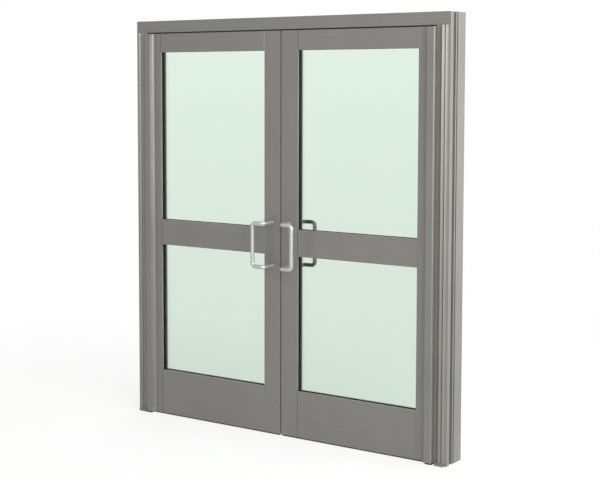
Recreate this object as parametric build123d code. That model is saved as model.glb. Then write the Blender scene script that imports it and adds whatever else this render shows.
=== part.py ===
"""A pair of glazed aluminium doors in their frame.

Two stile-and-rail leaves hang in a frame of two jambs and a header. Each leaf has an upper and a lower
insulated glass unit, a full-height hinge whose smooth barrel stands proud of the front, and pulls back to back.

The model is laid out from the floor: X across the doorway, Y from the front face to the back, Z up.
The finished solids are then moved so that the origin lies on the top face of the header.
"""
import os

from build123d import *

# Doorway and frame
OPENING_WIDTH = 1828.8
OPENING_HEIGHT = 2133.6
FRAME_FACE = 63.5
FRAME_DEPTH = 152.4
FRAME_WALL = 3.2

# Grooves along the outer side of the frame, measured from the front face
CHANNEL_START = 30.0
CHANNEL_WIDTH = 25.0
CHANNEL_DEPTH = 12.0
SLOT_START = 66.0
SLOT_WIDTH = 10.0
SLOT_DEPTH = 9.0

# Door leaf
LEAF_THICKNESS = 57.15
HINGE_GAP = 5.0
MEETING_GAP = 6.5
HEAD_GAP = 7.0
FLOOR_GAP = 9.5
MEETING_BEVEL = 3.6
LEAF_WALL = 3.2
STILE_WIDTH = 101.6
TOP_RAIL_HEIGHT = 101.6
MID_RAIL_HEIGHT = 139.7
MID_RAIL_CENTRE = 1031.0
BOTTOM_RAIL_TOP = 254.0
RAIL_END_BEVEL = 2.5

# Glazing, from the front lip to the stop at the back
LIP_THICKNESS = 11.0
GASKET_THICKNESS = 5.0
PANE_THICKNESS = 6.0
CAVITY = 13.4
POCKET_DEPTH = 14.0
GLASS_BITE = 9.0
STOP_JOINT = 0.6
GLAZING_STOP_BEVEL = 4.0

# Door stops and seals on the frame
STOP_CLEARANCE = 12.0
STOP_PROJECTION = 16.0
STOP_DEPTH = 32.0
STOP_WALL = 2.0
SEAL_WIDTH = 8.0
SEAL_THICKNESS = 4.0
SEAL_MARGIN = 3.0

# Hinge barrel on the leaf: flat in front, round towards the jamb, with a flank and a cove on its inner side
BARREL_RADIUS = 18.0
BARREL_FRONT = 25.0
AXIS_PROUD = 12.5
AXIS_INSET = 20.0
FLANK_TOP = 23.0
FLANK_FOOT = 28.5
COVE_TOP = 10.5
COVE_RADIUS = 14.5
FLANGE_REACH = 42.0
FLANGE_EDGE = 1.2

# Ridged hinge leaf on the jamb, measured outwards from the hinge edge of the door leaf
RUNNING_CLEARANCE = 0.5
LIP_REACH = 8.0
LIP_LIFT = 0.8
LIP_TOP = 2.5
INNER_COVE_RADIUS = 39.0
FIRST_RIDGE = 28.0
VALLEY = 39.5
SECOND_RIDGE = 48.5
RIDGE_HEIGHT = 10.0
VALLEY_HEIGHT = 1.8
JAMB_LEAF_END = 67.0
OUTER_COVE_RADIUS = 30.0

# Foot block, bearing block and sweep
FOOT_START = 8.0
FOOT_WIDTH = 50.0
FOOT_PROUD = 15.0
FOOT_HEIGHT = 14.0
BEARING_WIDTH = 34.0
BEARING_FRONT = 9.5
BEARING_BACK = 20.0
UNDERSIDE_CLEARANCE = 3.0
SWEEP_SETBACK = 4.0
SWEEP_THICKNESS = 6.0

# Pulls
PULL_DIAMETER = 21.0
PULL_CENTRES = 228.6
PULL_HEIGHT = 1016.0
PULL_PROJECTION = 83.0
PULL_OFFSET = 69.0
PULL_BEND = 20.0
BEND_LENGTHS = 6

# Places that follow from the sizes above
FRAME_HEIGHT = OPENING_HEIGHT + FRAME_FACE
JAMB_X = OPENING_WIDTH / 2
HINGE_EDGE = JAMB_X - HINGE_GAP
MEETING_EDGE = MEETING_GAP / 2
LEAF_TOP = OPENING_HEIGHT - HEAD_GAP
LEAF_HEIGHT = LEAF_TOP - FLOOR_GAP
LIGHT_INNER = MEETING_EDGE + STILE_WIDTH
LIGHT_OUTER = HINGE_EDGE - STILE_WIDTH
LIGHT_TOP = LEAF_TOP - TOP_RAIL_HEIGHT
MID_RAIL_BOTTOM = MID_RAIL_CENTRE - MID_RAIL_HEIGHT / 2
MID_RAIL_TOP = MID_RAIL_CENTRE + MID_RAIL_HEIGHT / 2
FRONT_PANE = LIP_THICKNESS + GASKET_THICKNESS
BACK_PANE = FRONT_PANE + PANE_THICKNESS + CAVITY
GLAZING_STOP = BACK_PANE + PANE_THICKNESS + GASKET_THICKNESS
STOP_FRONT = LEAF_THICKNESS + STOP_CLEARANCE
AXIS_X = HINGE_EDGE - AXIS_INSET
PULL_X = MEETING_EDGE + STILE_WIDTH / 2

# The origin lies on the flat strip of the header's top face, behind the grooves
FLAT_STRIP_START = SLOT_START + SLOT_WIDTH
TO_ORIGIN = Location((0, -(FLAT_STRIP_START + FRAME_DEPTH) / 2, -FRAME_HEIGHT))

UPPER_LIGHT = ((LIGHT_INNER, LIGHT_OUTER), (MID_RAIL_TOP, LIGHT_TOP))
LOWER_LIGHT = ((LIGHT_INNER, LIGHT_OUTER), (BOTTOM_RAIL_TOP, MID_RAIL_BOTTOM))
LIGHTS = (UPPER_LIGHT, LOWER_LIGHT)


def block(x, y, z):
    """A box given by its low and high ends along each axis."""
    low = Vector(x[0], y[0], z[0])
    size = Vector(x[1], y[1], z[1]) - low
    return Pos(low) * Box(size.X, size.Y, size.Z, align=(Align.MIN, Align.MIN, Align.MIN))


def rectangle(u, v):
    """A flat rectangle given by its low and high ends."""
    return Pos(u[0], v[0]) * Rectangle(u[1] - u[0], v[1] - v[0], align=(Align.MIN, Align.MIN))


def grown(light, margin):
    """The X and Z ranges of a light, pushed outwards by a margin on every side."""
    return tuple((low - margin, high + margin) for low, high in light)


def ring(light, y, margin):
    """A rectangular ring round a light, from the sightline outwards."""
    x, z = light
    outer_x, outer_z = grown(light, margin)
    return block(outer_x, y, outer_z) - block(x, y, z)


def along_x(section, start, length):
    """Extrude a section drawn as (Y, Z) along X."""
    plane = Plane(origin=(start, 0, 0), x_dir=(0, 1, 0), z_dir=(1, 0, 0))
    return extrude(plane * section, amount=length)


def tube(outline, wall):
    """A hollow section with one wall thickness all round."""
    return outline - offset(outline, -wall, kind=Kind.INTERSECTION)


def frame_section():
    """The hollow frame extrusion: U runs outwards from the doorway, V from the front to the back."""
    channel_end = CHANNEL_START + CHANNEL_WIDTH
    slot_end = SLOT_START + SLOT_WIDTH
    outline = rectangle((0, FRAME_FACE), (0, FRAME_DEPTH))
    outline -= rectangle((FRAME_FACE - CHANNEL_DEPTH, FRAME_FACE), (CHANNEL_START, channel_end))
    outline -= rectangle((FRAME_FACE - SLOT_DEPTH, FRAME_FACE), (SLOT_START, slot_end))
    return tube(outline, FRAME_WALL)


def make_jamb():
    return extrude(Pos(JAMB_X, 0) * frame_section(), amount=FRAME_HEIGHT)


def make_header():
    plane = Plane(origin=(JAMB_X, 0, OPENING_HEIGHT), x_dir=(0, 0, 1), z_dir=(-1, 0, 0))
    return extrude(plane * frame_section(), amount=OPENING_WIDTH)


def make_jamb_stop():
    outline = rectangle((JAMB_X - STOP_PROJECTION, JAMB_X), (STOP_FRONT, STOP_FRONT + STOP_DEPTH))
    return extrude(tube(outline, STOP_WALL), amount=OPENING_HEIGHT)


def make_header_stop():
    reach = JAMB_X - STOP_PROJECTION
    height = (OPENING_HEIGHT - STOP_PROJECTION, OPENING_HEIGHT)
    outline = rectangle((STOP_FRONT, STOP_FRONT + STOP_DEPTH), height)
    return along_x(tube(outline, STOP_WALL), -reach, 2 * reach)


def make_frame_seals():
    """Seal strips on the front of the stops: one up each jamb and one along the header."""
    depth = (STOP_FRONT - SEAL_THICKNESS, STOP_FRONT)
    inner = JAMB_X - SEAL_MARGIN - SEAL_WIDTH
    top = OPENING_HEIGHT - SEAL_MARGIN
    jamb_seal = block((inner, inner + SEAL_WIDTH), depth, (0, top - SEAL_WIDTH - SEAL_MARGIN))
    head_seal = block((-inner, inner), depth, (top - SEAL_WIDTH, top))
    return Compound([jamb_seal, mirror(jamb_seal, about=Plane.YZ), head_seal])


def make_jamb_leaf():
    """The hinge leaf on the jamb face: two coved ridges, and a lip cupped round the barrel."""
    ridges = Polyline((SECOND_RIDGE, RIDGE_HEIGHT), (VALLEY, VALLEY_HEIGHT), (FIRST_RIDGE, RIDGE_HEIGHT))
    inner_cove = RadiusArc((HINGE_GAP, LIP_TOP), (FIRST_RIDGE, RIDGE_HEIGHT), -INNER_COVE_RADIUS)
    seat = Polyline(
        (HINGE_GAP, LIP_TOP),
        (-LIP_REACH, LIP_TOP),
        (-LIP_REACH, LIP_LIFT),
        (HINGE_GAP, LIP_LIFT),
        (HINGE_GAP, 0),
        (JAMB_LEAF_END, 0),
        (JAMB_LEAF_END, FLANGE_EDGE),
    )
    outer_cove = RadiusArc((JAMB_LEAF_END, FLANGE_EDGE), (SECOND_RIDGE, RIDGE_HEIGHT), OUTER_COVE_RADIUS)
    section = make_face([ridges, inner_cove, seat, outer_cove])
    section -= Pos(-AXIS_INSET, AXIS_PROUD) * Circle(BARREL_RADIUS + RUNNING_CLEARANCE)
    plane = Plane(origin=(HINGE_EDGE, 0, OPENING_HEIGHT), x_dir=(1, 0, 0), z_dir=(0, 0, -1))
    return extrude(plane * section, amount=OPENING_HEIGHT - FOOT_HEIGHT)


def make_hinge_foot():
    start = HINGE_EDGE + FOOT_START
    return block((start, start + FOOT_WIDTH), (-FOOT_PROUD, 0), (0, FOOT_HEIGHT))


def make_hinge_barrel():
    """The smooth barrel, seated on the stile, with a cove flange on its inner side."""
    outline = Polyline(
        (-FLANK_FOOT, COVE_TOP),
        (-FLANK_TOP, BARREL_FRONT),
        (0, BARREL_FRONT),
        (0, 0),
        (-FLANGE_REACH, 0),
        (-FLANGE_REACH, FLANGE_EDGE),
    )
    cove = RadiusArc((-FLANGE_REACH, FLANGE_EDGE), (-FLANK_FOOT, COVE_TOP), -COVE_RADIUS)
    round_side = Pos(0, AXIS_PROUD) * Circle(BARREL_RADIUS)
    round_side &= rectangle((0, BARREL_RADIUS), (0, BARREL_FRONT))
    section = make_face([outline, cove]) + round_side
    plane = Plane(origin=(AXIS_X, 0, LEAF_TOP), x_dir=(1, 0, 0), z_dir=(0, 0, -1))
    return extrude(plane * section, amount=LEAF_HEIGHT)


def make_hinge_bearing():
    x = (AXIS_X - BEARING_WIDTH / 2, AXIS_X + BEARING_WIDTH / 2)
    y = (-AXIS_PROUD - BEARING_FRONT, BEARING_BACK)
    return block(x, y, (UNDERSIDE_CLEARANCE, FLOOR_GAP))


def make_bottom_sweep():
    x = (MEETING_EDGE + MEETING_BEVEL, AXIS_X - BEARING_WIDTH / 2 - RUNNING_CLEARANCE)
    y = (SWEEP_SETBACK, SWEEP_SETBACK + SWEEP_THICKNESS)
    return block(x, y, (UNDERSIDE_CLEARANCE, FLOOR_GAP))


def cut_glass_pockets(piece):
    """Cut the rebates for both glass units, open to the back behind the front lip."""
    for light in LIGHTS:
        x, z = grown(light, POCKET_DEPTH)
        piece -= block(x, (LIP_THICKNESS, LEAF_THICKNESS), z)
    return piece


def make_stile(outline, core):
    """A hollow stile from its outline and the part of it that the glass pocket leaves whole."""
    section = outline - offset(core, -LEAF_WALL, kind=Kind.INTERSECTION)
    return cut_glass_pockets(Pos(0, 0, FLOOR_GAP) * extrude(section, amount=LEAF_HEIGHT))


def make_hinge_stile():
    thickness = (0, LEAF_THICKNESS)
    outline = rectangle((LIGHT_OUTER, HINGE_EDGE), thickness)
    return make_stile(outline, rectangle((LIGHT_OUTER + POCKET_DEPTH, HINGE_EDGE), thickness))


def make_meeting_stile():
    """The meeting edge is bevelled, so that the leaves pass each other as they swing."""
    def outline_to(inner):
        corners = [
            (MEETING_EDGE, 0),
            (inner, 0),
            (inner, LEAF_THICKNESS),
            (MEETING_EDGE + MEETING_BEVEL, LEAF_THICKNESS),
        ]
        return make_face(Polyline(corners, close=True))

    return make_stile(outline_to(LIGHT_INNER), outline_to(LIGHT_INNER - POCKET_DEPTH))


def make_rail(bottom, top, pocket_below, pocket_above):
    """A hollow rail between the stiles, with bevelled ends on the front face."""
    core_bottom = bottom + (POCKET_DEPTH if pocket_below else 0)
    core_top = top - (POCKET_DEPTH if pocket_above else 0)
    core = rectangle((0, LEAF_THICKNESS), (core_bottom, core_top))
    section = rectangle((0, LEAF_THICKNESS), (bottom, top))
    section -= offset(core, -LEAF_WALL, kind=Kind.INTERSECTION)
    rail = along_x(section, LIGHT_INNER, LIGHT_OUTER - LIGHT_INNER)
    front_ends = rail.edges().filter_by(Axis.Z).group_by(Axis.Y)[0]
    return cut_glass_pockets(chamfer(front_ends, RAIL_END_BEVEL))


def make_glass(light):
    """An insulated unit: two panes that reach into the pocket."""
    x, z = grown(light, GLASS_BITE)
    return Compound([block(x, (y, y + PANE_THICKNESS), z) for y in (FRONT_PANE, BACK_PANE)])


def make_glass_spacers():
    cavity = (FRONT_PANE + PANE_THICKNESS, BACK_PANE)
    return Compound([ring(light, cavity, GLASS_BITE) for light in LIGHTS])


def make_gaskets():
    """A gasket ring in front of and behind each glass unit."""
    front = (LIP_THICKNESS, FRONT_PANE)
    back = (BACK_PANE + PANE_THICKNESS, GLAZING_STOP)
    return Compound([ring(light, y, GLASS_BITE) for light in LIGHTS for y in (front, back)])


def make_glazing_stops():
    """Four bars behind each glass unit, bevelled towards the glass, with a hairline joint at each corner."""
    bars = []
    y = (GLAZING_STOP, LEAF_THICKNESS)
    for light in LIGHTS:
        x, z = light
        outer_x, outer_z = grown(light, POCKET_DEPTH)
        between = (x[0] + STOP_JOINT, x[1] - STOP_JOINT)
        uprights = [block((outer_x[0], x[0]), y, outer_z), block((x[1], outer_x[1]), y, outer_z)]
        levels = [block(between, y, (outer_z[0], z[0])), block(between, y, (z[1], outer_z[1]))]
        for pair, along, across in ((uprights, Axis.Z, Axis.X), (levels, Axis.X, Axis.Z)):
            for bar, inner in zip(pair, (-1, 0)):
                back_edges = bar.edges().filter_by(along).group_by(Axis.Y)[-1].sort_by(across)
                bars.append(chamfer(back_edges[inner], GLAZING_STOP_BEVEL))
    return Compound(bars)


def make_pull():
    """An offset pull of round bar: out from the stile, sideways over the glass and down the grip.

    Each bend is a run of short mitred lengths, which looks as round as a torus and meshes far lighter.
    """
    grip_x = PULL_X + PULL_OFFSET
    top = PULL_HEIGHT + PULL_CENTRES / 2
    bottom = PULL_HEIGHT - PULL_CENTRES / 2
    route = FilletPolyline(
        (PULL_X, 0, top),
        (PULL_X, -PULL_PROJECTION, top),
        (grip_x, -PULL_PROJECTION, top),
        (grip_x, -PULL_PROJECTION, bottom),
        (PULL_X, -PULL_PROJECTION, bottom),
        (PULL_X, 0, bottom),
        radius=PULL_BEND,
    )
    points = [route @ 0]
    for edge in route.edges():
        lengths = BEND_LENGTHS if edge.geom_type == GeomType.CIRCLE else 1
        points += [edge @ (step / lengths) for step in range(1, lengths + 1)]
    runs = [(end - start).normalized() for start, end in zip(points, points[1:])]
    turns = zip(points, [runs[0]] + runs, runs + [runs[-1]])
    mitres = [Plane(point, z_dir=before + after) for point, before, after in turns]
    pull = Part()
    for run, start, end in zip(runs, mitres, mitres[1:]):
        length = Plane(start.origin, z_dir=run) * Cylinder(PULL_DIAMETER / 2, 2 * PULL_CENTRES)
        length = split(length, bisect_by=start, keep=Keep.TOP)
        pull += split(length, bisect_by=end, keep=Keep.BOTTOM)
    return pull


def leaf_nodes():
    """The pieces of the right leaf, by name."""
    mid_plane = Plane(origin=(0, LEAF_THICKNESS / 2, 0), z_dir=(0, 1, 0))
    outer_pull = make_pull()
    return {
        "hinge_stile": make_hinge_stile(),
        "meeting_stile": make_meeting_stile(),
        "top_rail": make_rail(LIGHT_TOP, LEAF_TOP, True, False),
        "mid_rail": make_rail(MID_RAIL_BOTTOM, MID_RAIL_TOP, True, True),
        "bottom_rail": make_rail(FLOOR_GAP, BOTTOM_RAIL_TOP, False, True),
        "upper_glass": make_glass(UPPER_LIGHT),
        "lower_glass": make_glass(LOWER_LIGHT),
        "glass_spacers": make_glass_spacers(),
        "gaskets": make_gaskets(),
        "glazing_stops": make_glazing_stops(),
        "outer_pull": outer_pull,
        "inner_pull": mirror(outer_pull, about=mid_plane),
        "hinge_barrel": make_hinge_barrel(),
        "hinge_bearing": make_hinge_bearing(),
        "bottom_sweep": make_bottom_sweep(),
    }


def frame_side_nodes():
    """The pieces of the frame's right side, by name."""
    return {
        "jamb": make_jamb(),
        "jamb_stop": make_jamb_stop(),
        "hinge_jamb_leaf": make_jamb_leaf(),
        "hinge_foot": make_hinge_foot(),
    }


def main():
    nodes = {
        "header": make_header(),
        "header_stop": make_header_stop(),
        "frame_seals": make_frame_seals(),
    }
    for name, piece in (frame_side_nodes() | leaf_nodes()).items():
        nodes["right_" + name] = piece
        nodes["left_" + name] = mirror(piece, about=Plane.YZ)
    os.makedirs("parts", exist_ok=True)
    for name, piece in nodes.items():
        export_step(piece.moved(TO_ORIGIN), "parts/" + name + ".step")


main()
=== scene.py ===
"""Looks of a pair of glazed aluminium doors in their frame.

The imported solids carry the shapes. This script gives each piece its finish, adds the rounded
gaskets, seals, sweeps and pulls, and sets the camera, the lamps and the pale floor.
"""
import math

import bmesh
import bpy
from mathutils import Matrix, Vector


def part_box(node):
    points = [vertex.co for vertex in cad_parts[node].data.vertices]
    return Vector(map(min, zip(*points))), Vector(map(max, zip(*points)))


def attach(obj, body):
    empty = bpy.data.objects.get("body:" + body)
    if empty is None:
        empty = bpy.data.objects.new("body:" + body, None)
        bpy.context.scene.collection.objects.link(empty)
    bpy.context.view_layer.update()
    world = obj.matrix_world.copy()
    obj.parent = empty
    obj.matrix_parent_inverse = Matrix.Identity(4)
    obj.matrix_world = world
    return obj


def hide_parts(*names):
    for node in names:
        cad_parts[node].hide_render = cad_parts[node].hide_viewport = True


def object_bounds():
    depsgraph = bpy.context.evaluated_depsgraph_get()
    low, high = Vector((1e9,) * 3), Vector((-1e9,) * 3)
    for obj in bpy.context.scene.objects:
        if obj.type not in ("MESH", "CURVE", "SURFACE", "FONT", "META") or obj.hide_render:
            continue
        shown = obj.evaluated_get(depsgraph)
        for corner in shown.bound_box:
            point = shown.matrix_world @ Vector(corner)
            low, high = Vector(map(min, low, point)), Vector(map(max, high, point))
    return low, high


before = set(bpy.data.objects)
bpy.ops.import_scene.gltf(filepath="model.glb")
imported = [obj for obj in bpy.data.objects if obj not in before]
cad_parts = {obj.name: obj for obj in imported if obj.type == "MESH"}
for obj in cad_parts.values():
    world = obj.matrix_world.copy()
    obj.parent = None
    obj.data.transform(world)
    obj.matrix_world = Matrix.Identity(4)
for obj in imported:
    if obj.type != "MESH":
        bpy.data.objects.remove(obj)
CAD_BOX = [list(corner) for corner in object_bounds()]

MM = 0.001
FLOOR_Z = CAD_BOX[0][2]
FRONT_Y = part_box("header")[0].y


def srgb(code):
    """A hex colour as linear values with alpha."""
    parts = [int(code[i:i + 2], 16) / 255 for i in (1, 3, 5)]
    linear = [c / 12.92 if c <= 0.04045 else ((c + 0.055) / 1.055) ** 2.4 for c in parts]
    return (*linear, 1.0)


def add(tree, kind, inputs=None, **settings):
    """Add a node, set its properties, and set or link its inputs."""
    node = tree.nodes.new(kind)
    for name, value in settings.items():
        setattr(node, name, value)
    for name, value in (inputs or {}).items():
        socket = node.inputs[name]
        if isinstance(value, bpy.types.NodeSocket):
            tree.links.new(value, socket)
        else:
            socket.default_value = value
    return node


def new_material(name):
    """A material and its empty node tree."""
    material = bpy.data.materials.new(name)
    material.use_nodes = True
    material.node_tree.nodes.clear()
    return material, material.node_tree


# Finishes

DIE_LINE_SPACING = 2.4 * MM
DIE_LINE_LENGTH = 900 * MM
DIE_LINE_HEIGHT = 0.2 * MM
ETCH_CLOUD_SIZE = 260 * MM
CLOUD_ROUGHNESS = 0.03
LINE_ROUGHNESS = 0.02
MOTTLE = 0.07


def anodised_aluminium(name, colour, roughness, along):
    """Extruded aluminium, etched and clear anodised to a warm satin grey.

    The porous skin scatters about as much light as the metal under it mirrors, so a face is
    shaded by its angle and keeps a soft sheen. Faint lines left by the die run along the bar,
    drawn about three times as coarse as real so that they show, and the etch leaves a slow
    cloudiness.
    """
    material, tree = new_material(name)
    place = add(tree, "ShaderNodeTexCoord").outputs["Object"]
    scale = [1 / DIE_LINE_SPACING] * 3
    scale["xyz".index(along)] = 1 / DIE_LINE_LENGTH
    stretched = add(tree, "ShaderNodeMapping", {"Vector": place, "Scale": scale})
    lines = add(tree, "ShaderNodeTexNoise", {
        "Vector": stretched.outputs["Vector"], "Scale": 1.0, "Detail": 2.0}).outputs["Fac"]
    cloud = add(tree, "ShaderNodeTexNoise", {
        "Vector": place, "Scale": 1 / ETCH_CLOUD_SIZE, "Detail": 3.0}).outputs["Fac"]
    sheen = add(tree, "ShaderNodeMapRange", {
        "Value": cloud, "From Min": 0.3, "From Max": 0.7,
        "To Min": roughness - CLOUD_ROUGHNESS, "To Max": roughness + CLOUD_ROUGHNESS})
    streak = add(tree, "ShaderNodeMapRange", {
        "Value": lines, "From Min": 0.25, "From Max": 0.75,
        "To Min": -LINE_ROUGHNESS, "To Max": LINE_ROUGHNESS})
    rough = add(tree, "ShaderNodeMath", {
        0: sheen.outputs[0], 1: streak.outputs[0]}, operation="ADD")
    mottle = add(tree, "ShaderNodeMath", {0: cloud, 1: lines}, operation="ADD")
    light = add(tree, "ShaderNodeMapRange", {
        "Value": mottle.outputs[0], "From Min": 0.6, "From Max": 1.4,
        "To Min": 1 - MOTTLE, "To Max": 1 + MOTTLE})
    tone = add(tree, "ShaderNodeVectorMath", {
        0: srgb(colour)[:3], "Scale": light.outputs[0]}, operation="SCALE")
    bump = add(tree, "ShaderNodeBump", {
        "Height": lines, "Strength": 0.06, "Distance": DIE_LINE_HEIGHT})
    shader = add(tree, "ShaderNodeBsdfPrincipled", {
        "Base Color": tone.outputs[0], "Metallic": 0.4, "Roughness": rough.outputs[0],
        "Normal": bump.outputs["Normal"]})
    add(tree, "ShaderNodeOutputMaterial", {"Surface": shader.outputs[0]})
    return material


BAR_GRAIN_SIZE = 1.6 * MM
BAR_GRAIN_HEIGHT = 0.1 * MM


def satin_steel_bar(name, colour):
    """Stainless round bar, belt-polished to a satin.

    It gives a soft bright line along the bar. The fine grain scatters part of the light, so the
    posts stay light where a mirror would show the dark stile.
    """
    material, tree = new_material(name)
    place = add(tree, "ShaderNodeTexCoord").outputs["Object"]
    grain = add(tree, "ShaderNodeTexNoise", {
        "Vector": place, "Scale": 1 / BAR_GRAIN_SIZE, "Detail": 2.0}).outputs["Fac"]
    rough = add(tree, "ShaderNodeMapRange", {"Value": grain, "To Min": 0.22, "To Max": 0.32})
    bump = add(tree, "ShaderNodeBump", {
        "Height": grain, "Strength": 0.05, "Distance": BAR_GRAIN_HEIGHT})
    shader = add(tree, "ShaderNodeBsdfPrincipled", {
        "Base Color": srgb(colour), "Metallic": 0.55, "Roughness": rough.outputs[0],
        "Normal": bump.outputs["Normal"]})
    add(tree, "ShaderNodeOutputMaterial", {"Surface": shader.outputs[0]})
    return material


# The colour at the floor is darker than the one at the top: a painted shade, not a deeper tint
GLASS_IN_PAINTED_SHADE_AT_FLOOR = "#E6EEE8"
GLASS_AT_TOP = "#F0F8F2"


def float_glass():
    """Clear float glass in an insulated unit, pale green against white because of its iron.

    Towards the foot it is drawn darker, a painted shade for the shadowed floor seen through the
    lower panes. Lamps pass straight through, so that the unit lights what is behind it as a real
    one does, and it mirrors little, which keeps the seals behind it black.
    """
    material, tree = new_material("clear_float_glass")
    place = add(tree, "ShaderNodeTexCoord").outputs["Object"]
    height = add(tree, "ShaderNodeSeparateXYZ", {0: place}).outputs["Z"]
    rise = add(tree, "ShaderNodeMapRange", {
        "Value": height, "From Min": FLOOR_Z, "From Max": 0.0})
    # Pale green tint of the glass, with a painted shade that darkens it towards the foot
    tint_and_painted_shade = add(tree, "ShaderNodeMix", {
        "Factor": rise.outputs[0], "A": srgb(GLASS_IN_PAINTED_SHADE_AT_FLOOR), "B": srgb(GLASS_AT_TOP)},
        data_type="RGBA")
    glass = add(tree, "ShaderNodeBsdfPrincipled", {
        "Base Color": tint_and_painted_shade.outputs["Result"], "Roughness": 0.0, "IOR": 1.52,
        "Specular IOR Level": 0.08, "Transmission Weight": 1.0})
    clear = add(tree, "ShaderNodeBsdfTransparent", {"Color": srgb(GLASS_AT_TOP)})
    path = add(tree, "ShaderNodeLightPath")
    mix = add(tree, "ShaderNodeMixShader", {
        0: path.outputs["Is Shadow Ray"], 1: glass.outputs[0], 2: clear.outputs[0]})
    add(tree, "ShaderNodeOutputMaterial", {"Surface": mix.outputs[0]})
    return material


SKIN_ROUGHNESS = 0.08
SKIN_HEIGHT = 0.2 * MM


def black_rubber(name, colour, roughness, grit, gloss):
    """Extruded black rubber, foam or nylon: matt, with a fine skin that breaks up its shine."""
    material, tree = new_material(name)
    place = add(tree, "ShaderNodeTexCoord").outputs["Object"]
    skin = add(tree, "ShaderNodeTexNoise", {
        "Vector": place, "Scale": 1 / grit, "Detail": 3.0}).outputs["Fac"]
    rough = add(tree, "ShaderNodeMapRange", {
        "Value": skin, "To Min": roughness - SKIN_ROUGHNESS, "To Max": roughness + SKIN_ROUGHNESS})
    bump = add(tree, "ShaderNodeBump", {
        "Height": skin, "Strength": 0.15, "Distance": SKIN_HEIGHT})
    shader = add(tree, "ShaderNodeBsdfPrincipled", {
        "Base Color": srgb(colour), "Roughness": rough.outputs[0], "Specular IOR Level": gloss,
        "Normal": bump.outputs["Normal"]})
    add(tree, "ShaderNodeOutputMaterial", {"Surface": shader.outputs[0]})
    return material


UPRIGHT = anodised_aluminium("anodised_aluminium_upright", "#7A7874", 0.36, along="z")
LEVEL = anodised_aluminium("anodised_aluminium_level", "#7A7874", 0.36, along="x")
FOOT = anodised_aluminium("mill_aluminium_foot", "#7B7877", 0.5, along="x")
PULL = satin_steel_bar("satin_stainless_bar", "#B2B5B1")
# The inner pulls are the same satin bar as the outer ones, drawn far darker: a painted shade for
# their unlit side behind the glass
INNER_PULL_IN_PAINTED_SHADE = satin_steel_bar("dark_satin_bar", "#585A57")
# No gloss where the blacks are seen at a grazing angle, or they would look grey
EDGE_SEAL = black_rubber("black_edge_sealant", "#141413", 0.6, grit=2.0 * MM, gloss=0.0)
GLASS = float_glass()
RUBBER = black_rubber("black_rubber_gasket", "#1C1C1B", 0.6, grit=1.5 * MM, gloss=0.03)
SPACER = black_rubber("black_foam_spacer", "#161615", 0.7, grit=2.5 * MM, gloss=0.0)
NYLON = black_rubber("black_nylon_bearing", "#101010", 0.5, grit=2.0 * MM, gloss=0.05)

FINISH_OF_PIECE = {
    "header": LEVEL,
    "header_stop": LEVEL,
    "frame_seals": RUBBER,
    "jamb": UPRIGHT,
    "jamb_stop": UPRIGHT,
    "hinge_jamb_leaf": UPRIGHT,
    "hinge_foot": FOOT,
    "hinge_stile": UPRIGHT,
    "meeting_stile": UPRIGHT,
    "top_rail": LEVEL,
    "mid_rail": LEVEL,
    "bottom_rail": LEVEL,
    "upper_glass": GLASS,
    "lower_glass": GLASS,
    "glass_spacers": SPACER,
    "gaskets": RUBBER,
    "glazing_stops": UPRIGHT,
    "outer_pull": PULL,
    "inner_pull": INNER_PULL_IN_PAINTED_SHADE,
    "hinge_barrel": UPRIGHT,
    "hinge_bearing": NYLON,
    "bottom_sweep": RUBBER,
}


def seal_pane_edges(unit):
    """Blacken the narrow edges of both panes, which sit in sealant inside the pocket."""
    unit.data.materials.append(EDGE_SEAL)
    for face in unit.data.polygons:
        face.material_index = 0 if abs(face.normal.y) > 0.5 else 1


def finish_solids():
    """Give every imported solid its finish."""
    for node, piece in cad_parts.items():
        finish = FINISH_OF_PIECE[node.removeprefix("left_").removeprefix("right_")]
        piece.data.materials.clear()
        piece.data.materials.append(finish)
        if finish is GLASS:
            seal_pane_edges(piece)


# Strips and bars that follow a route

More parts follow.
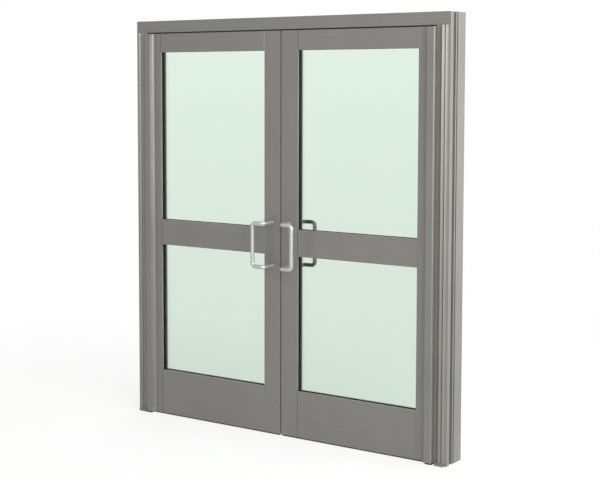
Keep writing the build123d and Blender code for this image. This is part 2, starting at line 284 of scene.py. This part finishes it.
def strip_tree():
    """A node tree that rounds the corners of a route and sweeps a rounded rectangle along it.

    The rectangle's depth lies along Facing, and its width across the route.
    """
    tree = bpy.data.node_groups.new("strip_along_route", "GeometryNodeTree")
    sockets = {
        "Route": "Geometry",
        "Corner Radius": "Float",
        "Corner Steps": "Int",
        "Width": "Float",
        "Depth": "Float",
        "Edge Radius": "Float",
        "Edge Steps": "Int",
        "Facing": "Vector",
        "Finish": "Material",
    }
    for name, kind in sockets.items():
        tree.interface.new_socket(name, in_out="INPUT", socket_type="NodeSocket" + kind)
    tree.interface.new_socket("Strip", in_out="OUTPUT", socket_type="NodeSocketGeometry")
    given = add(tree, "NodeGroupInput").outputs
    path = add(tree, "GeometryNodeMeshToCurve", {"Mesh": given["Route"]})
    bent = add(tree, "GeometryNodeFilletCurve", {
        "Curve": path.outputs[0], "Count": given["Corner Steps"],
        "Radius": given["Corner Radius"]}, mode="POLY")
    tangent = add(tree, "GeometryNodeInputTangent")
    across = add(tree, "ShaderNodeVectorMath", {
        0: tangent.outputs[0], 1: given["Facing"]}, operation="CROSS_PRODUCT")
    square = add(tree, "ShaderNodeVectorMath", {0: across.outputs[0]}, operation="NORMALIZE")
    facing = add(tree, "GeometryNodeSetCurveNormal", {
        "Curve": bent.outputs[0], "Normal": square.outputs[0]}, mode="FREE")
    outline = add(tree, "GeometryNodeCurvePrimitiveQuadrilateral", {
        "Width": given["Width"], "Height": given["Depth"]})
    rounded = add(tree, "GeometryNodeFilletCurve", {
        "Curve": outline.outputs[0], "Count": given["Edge Steps"],
        "Radius": given["Edge Radius"]}, mode="POLY")
    swept = add(tree, "GeometryNodeCurveToMesh", {
        "Curve": facing.outputs[0], "Profile Curve": rounded.outputs[0], "Fill Caps": True})
    smooth = add(tree, "GeometryNodeSetShadeSmooth", {"Geometry": swept.outputs[0]})
    real = add(tree, "GeometryNodeRealizeInstances", {"Geometry": smooth.outputs[0]})
    done = add(tree, "GeometryNodeSetMaterial", {
        "Geometry": real.outputs[0], "Material": given["Finish"]})
    add(tree, "NodeGroupOutput", {"Strip": done.outputs[0]})
    return tree


STRIP_TREE = strip_tree()
STRAIGHT = {"corner_radius": 0.0, "corner_steps": 1}
TO_THE_FRONT = (0, -1, 0)


def route_mesh(name, routes):
    """The routes as one mesh of edges. A route that ends where it starts is closed."""
    points = []
    edges = []
    for route in routes:
        closed = route[0] == route[-1]
        start = len(points)
        points += route[:-1] if closed else route
        edges += [(i, i + 1) for i in range(start, len(points) - 1)]
        if closed:
            edges.append((len(points) - 1, start))
    mesh = bpy.data.meshes.new(name + "_route")
    mesh.from_pydata(points, edges, [])
    return mesh


def sweep_strip(name, routes, body, slot, **sizes):
    """Sweep a strip along its routes, each a list of points, as one plain mesh."""
    strip = bpy.data.objects.new(name, route_mesh(name, routes))
    bpy.context.scene.collection.objects.link(strip)
    modifier = strip.modifiers.new("strip", "NODES")
    modifier.node_group = STRIP_TREE
    for item in STRIP_TREE.interface.items_tree:
        if item.in_out == "INPUT" and item.name != "Route":
            modifier[item.identifier] = sizes[item.name.lower().replace(" ", "_")]
    result = strip.evaluated_get(bpy.context.evaluated_depsgraph_get())
    mesh = bpy.data.meshes.new_from_object(result)
    strip.modifiers.clear()
    shell = bmesh.new()
    shell.from_mesh(mesh)
    bmesh.ops.recalc_face_normals(shell, faces=shell.faces)
    shell.to_mesh(mesh)
    shell.free()
    mesh.name = name
    strip.data = mesh
    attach(strip, body)
    return strip


GASKET_THICKNESS = 5.0 * MM
GASKET_BITE = 9.0 * MM
GASKET_CORNER = 0.55 * GASKET_BITE
GASKET_EDGE = 1.6 * MM


def make_gaskets(side):
    """Rounded wedge gaskets before and behind each glass unit, tight at the corners."""
    half = GASKET_BITE / 2
    routes = []
    for light in ("upper", "lower"):
        low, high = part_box(f"{side}_{light}_glass")
        left, right = low.x + half, high.x - half
        foot, head = low.z + half, high.z - half
        corners = [(left, foot), (right, foot), (right, head), (left, head), (left, foot)]
        for y in (low.y - GASKET_THICKNESS / 2, high.y + GASKET_THICKNESS / 2):
            routes.append([(x, y, z) for x, z in corners])
    gaskets = sweep_strip(
        f"{side}_wedge_gaskets", routes, f"{side}_leaf", "black_gasket",
        corner_radius=GASKET_CORNER, corner_steps=4,
        width=GASKET_BITE, depth=GASKET_THICKNESS, edge_radius=GASKET_EDGE, edge_steps=3,
        facing=TO_THE_FRONT, finish=RUBBER)
    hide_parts(f"{side}_gaskets")


BULB_WIDTH = 8.0 * MM
BULB_ROUNDING = 0.49
BULB_JOINT = 3.0 * MM


def make_frame_seals():
    """Half-round bulb seals on the front of the stops."""
    low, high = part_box("frame_seals")
    thick = high.y - low.y
    y = (low.y + high.y) / 2
    left, right = low.x + BULB_WIDTH / 2, high.x - BULB_WIDTH / 2
    head = high.z - BULB_WIDTH / 2
    upright_end = high.z - BULB_WIDTH - BULB_JOINT
    routes = [
        [(left, y, low.z), (left, y, upright_end)],
        [(right, y, low.z), (right, y, upright_end)],
        [(low.x, y, head), (high.x, y, head)],
    ]
    seals = sweep_strip(
        "frame_bulb_seals", routes, "frame", "black_gasket", **STRAIGHT,
        width=BULB_WIDTH, depth=thick, edge_radius=thick * BULB_ROUNDING, edge_steps=6,
        facing=TO_THE_FRONT, finish=RUBBER)
    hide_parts("frame_seals")


FIN_COUNT = 3
FIN_THICKNESS = 1.3 * MM
FIN_ROUNDING = 0.45
CARRIER_THICKNESS = 2.2 * MM
CARRIER_EDGE = 0.4 * MM


def make_sweep(side):
    """Soft fins under a carrier strip along the foot of a leaf."""
    low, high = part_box(f"{side}_bottom_sweep")
    under = high.z - CARRIER_THICKNESS
    middle = (low.z + under) / 2
    step = (high.y - low.y - FIN_THICKNESS) / (FIN_COUNT - 1)
    places = [low.y + FIN_THICKNESS / 2 + i * step for i in range(FIN_COUNT)]
    fins = sweep_strip(
        f"{side}_sweep_fins", [[(low.x, y, middle), (high.x, y, middle)] for y in places],
        f"{side}_leaf", "black_gasket", **STRAIGHT,
        width=under - low.z, depth=FIN_THICKNESS,
        edge_radius=FIN_THICKNESS * FIN_ROUNDING, edge_steps=3,
        facing=TO_THE_FRONT, finish=RUBBER)
    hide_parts(f"{side}_bottom_sweep")
    y, z = (low.y + high.y) / 2, high.z - CARRIER_THICKNESS / 2
    sweep_strip(
        f"{side}_sweep_carrier", [[(low.x, y, z), (high.x, y, z)]],
        f"{side}_leaf", "black_gasket", **STRAIGHT,
        width=CARRIER_THICKNESS, depth=high.y - low.y, edge_radius=CARRIER_EDGE, edge_steps=2,
        facing=TO_THE_FRONT, finish=RUBBER)


PULL_DIAMETER = 21.0 * MM
PULL_BEND = 20.0 * MM
# Just short of the full radius, so that the rounded square keeps its corner points apart
PULL_ROUNDING = 0.999
# Along none of the bar's runs, so that every run has a direction across it
PULL_FACING = (1, 1, 1)


def make_pull(side, face):
    """A pull of round bar: out from the stile, sideways over the glass and down the grip."""
    low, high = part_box(f"{side}_{face}_pull")
    r = PULL_DIAMETER / 2
    foot_x, grip_x = (high.x - r, low.x + r) if side == "left" else (low.x + r, high.x - r)
    foot_y, bar_y = (high.y, low.y + r) if face == "outer" else (low.y, high.y - r)
    top, bottom = high.z - r, low.z + r
    route = [
        (foot_x, foot_y, top), (foot_x, bar_y, top), (grip_x, bar_y, top),
        (grip_x, bar_y, bottom), (foot_x, bar_y, bottom), (foot_x, foot_y, bottom),
    ]
    pull = sweep_strip(
        f"{side}_{face}_pull_bar", [route], f"{side}_leaf", "satin_pull",
        corner_radius=PULL_BEND, corner_steps=12,
        width=PULL_DIAMETER, depth=PULL_DIAMETER, edge_radius=r * PULL_ROUNDING, edge_steps=9,
        facing=PULL_FACING, finish=FINISH_OF_PIECE[f"{face}_pull"])
    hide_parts(f"{side}_{face}_pull")


# Stage

def white_to_the_eye(tree):
    """A factor of 1 for rays from the camera, and for those that metal mirrors or glass passes."""
    path = add(tree, "ShaderNodeLightPath")
    some = add(tree, "ShaderNodeMath", {
        0: path.outputs["Is Camera Ray"], 1: path.outputs["Is Glossy Ray"]}, operation="MAXIMUM")
    return add(tree, "ShaderNodeMath", {
        0: some.outputs[0], 1: path.outputs["Is Transmission Ray"]},
        operation="MAXIMUM").outputs[0]


FLOOR_SIZE = 80.0
FLOOR_SHADOW = 0.25
SHADOW_FULL_TO = 1.6
SHADOW_GONE_AT = 4.5


def make_floor():
    """A pale floor that looks white, with a faint shadow near the door that fades out round it."""
    bpy.ops.mesh.primitive_plane_add(size=FLOOR_SIZE, location=(0, 0, FLOOR_Z))
    floor = bpy.context.object
    floor.name = "floor"
    material, tree = new_material("pale_floor")
    matt = add(tree, "ShaderNodeBsdfDiffuse", {"Color": srgb("#FAFAF8")})
    glow = add(tree, "ShaderNodeEmission", {"Color": srgb("#FFFFFF"), "Strength": 1.0})
    place = add(tree, "ShaderNodeTexCoord").outputs["Object"]
    away = add(tree, "ShaderNodeVectorMath", {0: place}, operation="LENGTH")
    plain = add(tree, "ShaderNodeMapRange", {
        "Value": away.outputs["Value"], "From Min": SHADOW_FULL_TO, "From Max": SHADOW_GONE_AT,
        "To Min": 1 - FLOOR_SHADOW, "To Max": 1.0}, interpolation_type="SMOOTHSTEP")
    share = add(tree, "ShaderNodeMath", {
        0: white_to_the_eye(tree), 1: plain.outputs[0]}, operation="MULTIPLY")
    mix = add(tree, "ShaderNodeMixShader", {
        0: share.outputs[0], 1: matt.outputs[0], 2: glow.outputs[0]})
    add(tree, "ShaderNodeOutputMaterial", {"Surface": mix.outputs[0]})
    floor.data.materials.append(material)


WORLD_LIGHT = 0.35


def make_world():
    """White where the eye meets it, and a softer fill for the light that it sheds."""
    world = bpy.data.worlds.new("white_studio")
    bpy.context.scene.world = world
    world.use_nodes = True
    tree = world.node_tree
    tree.nodes.clear()
    white = srgb("#FFFFFF")
    fill = add(tree, "ShaderNodeBackground", {"Color": white, "Strength": WORLD_LIGHT})
    seen = add(tree, "ShaderNodeBackground", {"Color": white, "Strength": 1.0})
    mix = add(tree, "ShaderNodeMixShader", {
        0: white_to_the_eye(tree), 1: fill.outputs[0], 2: seen.outputs[0]})
    add(tree, "ShaderNodeOutputWorld", {"Surface": mix.outputs[0]})


# Square lamps: place in metres from the foot of the front face, size in metres, and watts.
# The key rakes the front from the right, so that the hinges' flanks catch it. The others fill
# the front, light the side of the jamb and light the back.
SOFTBOXES = {
    "key_softbox": ((8.0, -3.6, 4.2), 7.0, 820),
    "front_softbox": ((3.4, -4.6, 4.0), 4.5, 125),
    "side_softbox": ((5.6, 3.4, 2.6), 5.0, 170),
    "back_softbox": ((-3.5, 6.0, 3.4), 7.0, 320),
}
AIM_HEIGHT = 1.1


def make_lamps():
    """Large lamps that point at the middle of the door and don't show through its glass."""
    foot = Vector((0, FRONT_Y, FLOOR_Z))
    for name, (place, size, watts) in SOFTBOXES.items():
        lamp = bpy.data.lights.new(name, "AREA")
        lamp.size = size
        lamp.energy = watts
        softbox = bpy.data.objects.new(name, lamp)
        softbox.location = foot + Vector(place)
        aim = Vector((0, 0, AIM_HEIGHT)) - Vector(place)
        softbox.rotation_euler = aim.to_track_quat("-Z", "Y").to_euler()
        softbox.visible_transmission = False
        bpy.context.scene.collection.objects.link(softbox)


# Camera, in millimetres from the foot of the front face and degrees, fitted to the photograph
CAMERA_X = 3944
CAMERA_Y = -5661
CAMERA_Z = 1865
CAMERA_YAW = 35.58
CAMERA_PITCH = -4.49
CAMERA_LENS = 79.86
CAMERA_SENSOR = 36
CAMERA_SHIFT = (0.0595, -0.09)


def make_camera():
    """A camera at the photograph's viewpoint."""
    camera = bpy.data.cameras.new("camera")
    camera.lens = CAMERA_LENS
    camera.sensor_width = CAMERA_SENSOR
    camera.shift_x, camera.shift_y = CAMERA_SHIFT
    view = bpy.data.objects.new("camera", camera)
    view.location = (CAMERA_X * MM, FRONT_Y + CAMERA_Y * MM, FLOOR_Z + CAMERA_Z * MM)
    view.rotation_euler = (math.radians(90 + CAMERA_PITCH), 0, math.radians(CAMERA_YAW))
    bpy.context.scene.collection.objects.link(view)
    bpy.context.scene.camera = view


finish_solids()
make_frame_seals()
for leaf_side in ("left", "right"):
    make_gaskets(leaf_side)
    make_sweep(leaf_side)
    for pull_face in ("outer", "inner"):
        make_pull(leaf_side, pull_face)
make_floor()
make_world()
make_lamps()
make_camera()
bpy.context.scene.view_settings.view_transform = "Standard"
